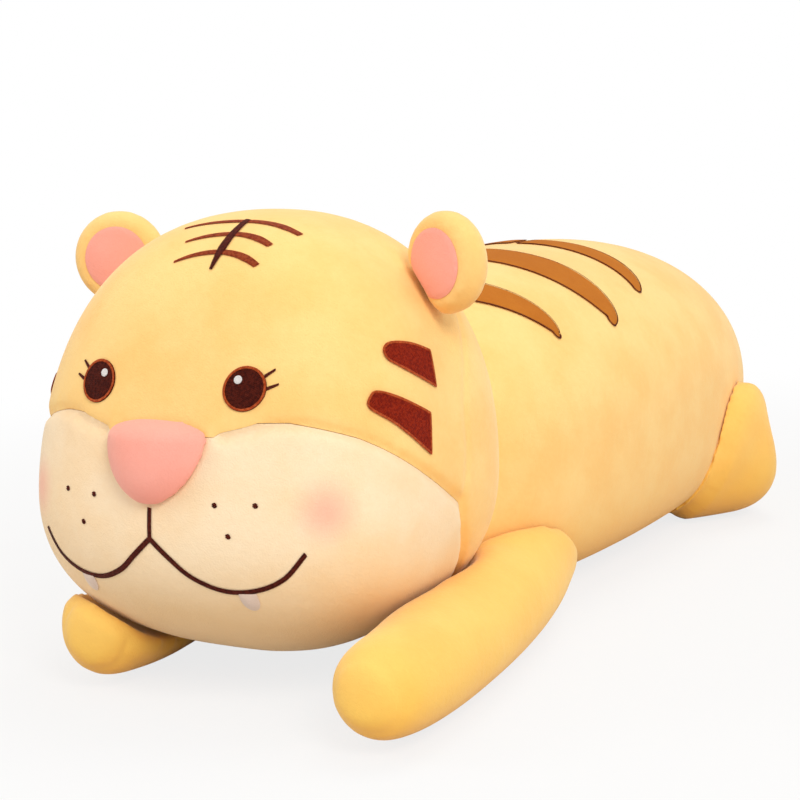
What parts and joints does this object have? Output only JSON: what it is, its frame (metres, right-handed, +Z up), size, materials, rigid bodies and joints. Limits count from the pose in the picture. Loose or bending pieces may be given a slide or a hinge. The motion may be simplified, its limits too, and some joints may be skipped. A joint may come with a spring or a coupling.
{
  "type": "plush tiger",
  "caption": "Plush tiger lying flat on its belly, with a round head, an embroidered face, small ears, a striped back and stretched-out legs.",
  "frame": {"origin": "on the floor, on the flat of the belly, under the middle of the back", "axes": "+X to the tiger's left side, +Y from its nose to its rump, +Z up"},
  "size_m": [0.3571, 0.9108, 0.304],
  "materials": {
    "yellow_plush": "short soft pile",
    "cream_plush": "short soft pile",
    "pink_plush": "short soft pile",
    "brown_thread": "satin stitch",
    "red_brown_thread": "satin stitch",
    "caramel_plush": "short pile",
    "white_felt": "matt",
    "stuffing": "loose fibre"
  },
  "bodies": {
    "body": {"body_cover": "yellow_plush", "body_filling": "stuffing", "back_stripe_left_1": "caramel_plush", "back_stripe_left_2": "caramel_plush", "back_stripe_left_3": "caramel_plush", "back_stripe_right_1": "caramel_plush", "back_stripe_right_2": "caramel_plush", "back_stripe_right_3": "caramel_plush"},
    "head": {"head_cover": "yellow_plush", "muzzle_cover": "cream_plush", "head_filling": "stuffing", "nose": "pink_plush", "mouth_middle": "red_brown_thread", "forehead_stroke": "brown_thread", "eye_left": "brown_thread", "eye_left_rim": "red_brown_thread", "eye_left_highlight": "white_felt", "eye_left_lash_1": "brown_thread", "eye_left_lash_2": "brown_thread", "mouth_left": "red_brown_thread", "fang_left": "white_felt", "whisker_dot_left_1": "red_brown_thread", "whisker_dot_left_2": "red_brown_thread", "whisker_dot_left_3": "red_brown_thread", "forehead_bar_left_1": "brown_thread", "forehead_bar_left_2": "brown_thread", "forehead_bar_left_3": "brown_thread", "cheek_stripe_left_upper": "brown_thread", "cheek_stripe_left_lower": "brown_thread", "eye_right": "brown_thread", "eye_right_rim": "red_brown_thread", "eye_right_highlight": "white_felt", "eye_right_lash_1": "brown_thread", "eye_right_lash_2": "brown_thread", "mouth_right": "red_brown_thread", "fang_right": "white_felt", "whisker_dot_right_1": "red_brown_thread", "whisker_dot_right_2": "red_brown_thread", "whisker_dot_right_3": "red_brown_thread", "forehead_bar_right_1": "brown_thread", "forehead_bar_right_2": "brown_thread", "forehead_bar_right_3": "brown_thread", "cheek_stripe_right_upper": "brown_thread", "cheek_stripe_right_lower": "brown_thread"},
    "left_ear": {"ear_left": "yellow_plush", "ear_left_panel": "pink_plush"},
    "right_ear": {"ear_right": "yellow_plush", "ear_right_panel": "pink_plush"},
    "left_front_leg": {"front_leg_left_cover": "yellow_plush", "front_leg_left_filling": "stuffing"},
    "right_front_leg": {"front_leg_right_cover": "yellow_plush", "front_leg_right_filling": "stuffing"},
    "left_hind_leg": {"hind_leg_left_cover": "yellow_plush", "hind_leg_left_filling": "stuffing"},
    "right_hind_leg": {"hind_leg_right_cover": "yellow_plush", "hind_leg_right_filling": "stuffing"},
    "tail": {"tail_cover": "yellow_plush", "tail_filling": "stuffing"}
  },
  "joints": [
    {"name": "head_nod", "type": "hinge", "parent": "body", "child": "head", "pos_m": [0, -0.34, 0.133], "axis": [1, 0, 0], "range_deg": [-6, 6], "stiffness_Nm_per_rad": 6},
    {"name": "left_ear_fold", "type": "hinge", "parent": "head", "child": "left_ear", "pos_m": [0.11145, -0.32671, 0.24801], "axis": [0.6391, -0.2453, -0.729], "range_deg": [-10, 10], "stiffness_Nm_per_rad": 0.06},
    {"name": "right_ear_fold", "type": "hinge", "parent": "head", "child": "right_ear", "pos_m": [-0.11145, -0.32671, 0.24801], "axis": [0.6391, 0.2453, 0.729], "range_deg": [-10, 10], "stiffness_Nm_per_rad": 0.06},
    {"name": "left_front_leg_splay", "type": "hinge", "parent": "body", "child": "left_front_leg", "pos_m": [0.1, -0.15, 0.0418], "axis": [0, 0, 1], "range_deg": [0, 20], "stiffness_Nm_per_rad": 1},
    {"name": "right_front_leg_splay", "type": "hinge", "parent": "body", "child": "right_front_leg", "pos_m": [-0.1, -0.15, 0.0418], "axis": [0, 0, -1], "range_deg": [0, 20], "stiffness_Nm_per_rad": 1},
    {"name": "left_hind_leg_splay", "type": "hinge", "parent": "body", "child": "left_hind_leg", "pos_m": [0.08, 0.12, 0.0558], "axis": [0, 0, -1], "range_deg": [-4, 12], "stiffness_Nm_per_rad": 0.6},
    {"name": "right_hind_leg_splay", "type": "hinge", "parent": "body", "child": "right_hind_leg", "pos_m": [-0.08, 0.12, 0.0558], "axis": [0, 0, 1], "range_deg": [-4, 12], "stiffness_Nm_per_rad": 0.6},
    {"name": "tail_swing", "type": "hinge", "parent": "body", "child": "tail", "pos_m": [0, 0.278, 0.0188], "axis": [0, 0, 1], "range_deg": [-20, 20], "stiffness_Nm_per_rad": 0.1}
  ]
}
